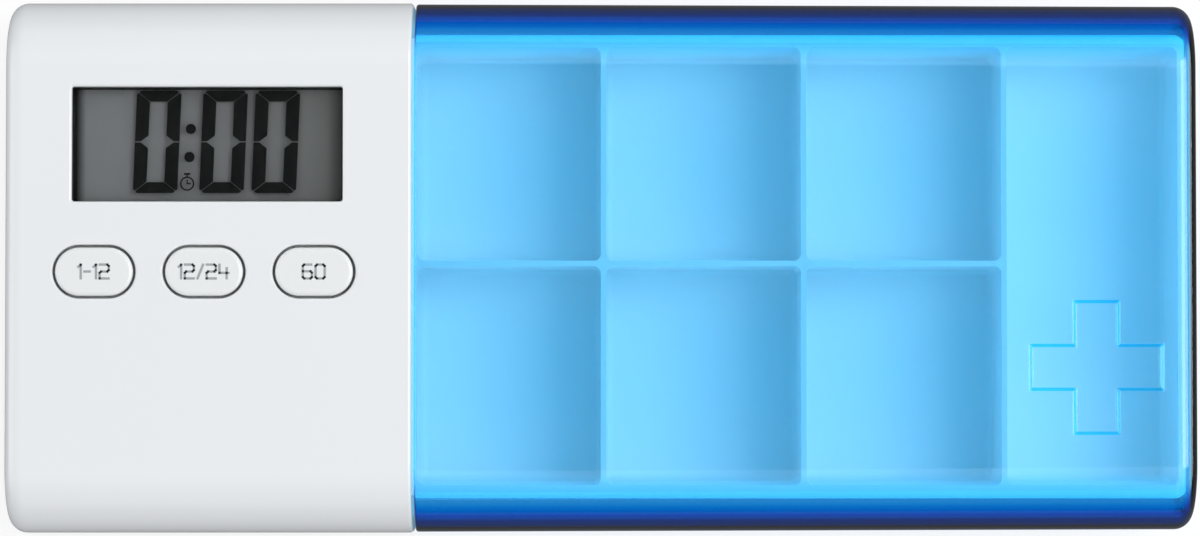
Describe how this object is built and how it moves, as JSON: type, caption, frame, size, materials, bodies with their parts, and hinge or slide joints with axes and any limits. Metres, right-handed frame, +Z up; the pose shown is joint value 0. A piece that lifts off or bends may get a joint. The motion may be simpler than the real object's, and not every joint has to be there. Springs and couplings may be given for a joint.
{
  "type": "electronic pill organizer",
  "caption": "Flat pill box with a digital timer head, set buttons, a compartment tray and a transparent sleeve that slides off the tray; coin cell door underneath.",
  "frame": {"origin": "centre of the footprint, on the table that the flat underside rests on", "axes": "+X from the display head to the closed end of the sleeve, +Y towards the display side of the face, +Z up out of the display face"},
  "size_m": [0.1336, 0.06, 0.0192],
  "materials": {
    "white_abs": "moulded ABS, cool white, high gloss",
    "button_abs": "moulded ABS, cool white, high gloss, small grey pad print",
    "window_acrylic": "clear acrylic, polished",
    "display_glass": "liquid crystal glass over a grey reflector",
    "reflector_film": "satin grey film",
    "black_foam": "closed-cell foam",
    "black_plastic": "moulded, fine texture",
    "switch_stem_plastic": "moulded",
    "pink_elastomer": "layered silicone",
    "green_board": "solder mask over glass epoxy",
    "black_resin": "potting resin",
    "ferrite": "sintered ferrite",
    "plated_steel": "nickel plated",
    "cell_steel": "fine brushed",
    "spring_contact": "plated spring strip",
    "sounder_brass": "rolled",
    "white_ceramic": "silvered ceramic",
    "lead_vinyl": "extruded vinyl",
    "tray_plastic": "moulded polypropylene, white, satin gloss",
    "blue_clear_plastic": "transparent blue polystyrene, polished"
  },
  "bodies": {
    "head": {"head_top_shell": "white_abs", "head_bottom_shell": "white_abs", "display_window": "window_acrylic", "display_gasket": "black_foam", "display_panel": "display_glass", "display_rear_film": "reflector_film", "display_holder": "black_plastic", "display_connector_strips": "pink_elastomer", "circuit_board": "green_board", "chip_blob": "black_resin", "crystal_can": "plated_steel", "chip_resistors": "black_resin", "coil_inductor": "ferrite", "board_screws": "plated_steel", "shell_screws": "plated_steel", "tray_screws": "plated_steel", "battery_cell": "cell_steel", "battery_contact_negative": "spring_contact", "battery_contact_positive": "spring_contact", "sounder_disc": "sounder_brass", "sounder_ceramic": "white_ceramic", "sounder_seal": "black_foam", "sounder_leads": "lead_vinyl", "pill_tray": "tray_plastic", "switch_housing_hour": "black_plastic", "switch_housing_mode": "black_plastic", "switch_housing_minute": "black_plastic"},
    "sleeve": {"sleeve": "blue_clear_plastic"},
    "battery_door": {"battery_door": "white_abs"},
    "button_hour": {"button_hour": "button_abs", "switch_plunger_hour": "switch_stem_plastic"},
    "button_mode": {"button_mode": "button_abs", "switch_plunger_mode": "switch_stem_plastic"},
    "button_minute": {"button_minute": "button_abs", "switch_plunger_minute": "switch_stem_plastic"}
  },
  "joints": [
    {"name": "sleeve_slide", "type": "slide", "parent": "head", "child": "sleeve", "axis": [1, 0, 0], "range_m": [0, 0.09]},
    {"name": "button_hour_press", "type": "slide", "parent": "head", "child": "button_hour", "axis": [0, 0, -1], "range_m": [0, 0.0005], "stiffness_N_per_m": 250, "springref_m": -0.001},
    {"name": "button_mode_press", "type": "slide", "parent": "head", "child": "button_mode", "axis": [0, 0, -1], "range_m": [0, 0.0005], "stiffness_N_per_m": 250, "springref_m": -0.001},
    {"name": "button_minute_press", "type": "slide", "parent": "head", "child": "button_minute", "axis": [0, 0, -1], "range_m": [0, 0.0005], "stiffness_N_per_m": 250, "springref_m": -0.001},
    {"name": "battery_door_swing", "type": "hinge", "parent": "head", "child": "battery_door", "pos_m": [-0.034, -0.0105, 0.0011], "axis": [0, -1, 0], "range_deg": [0, 100]}
  ]
}
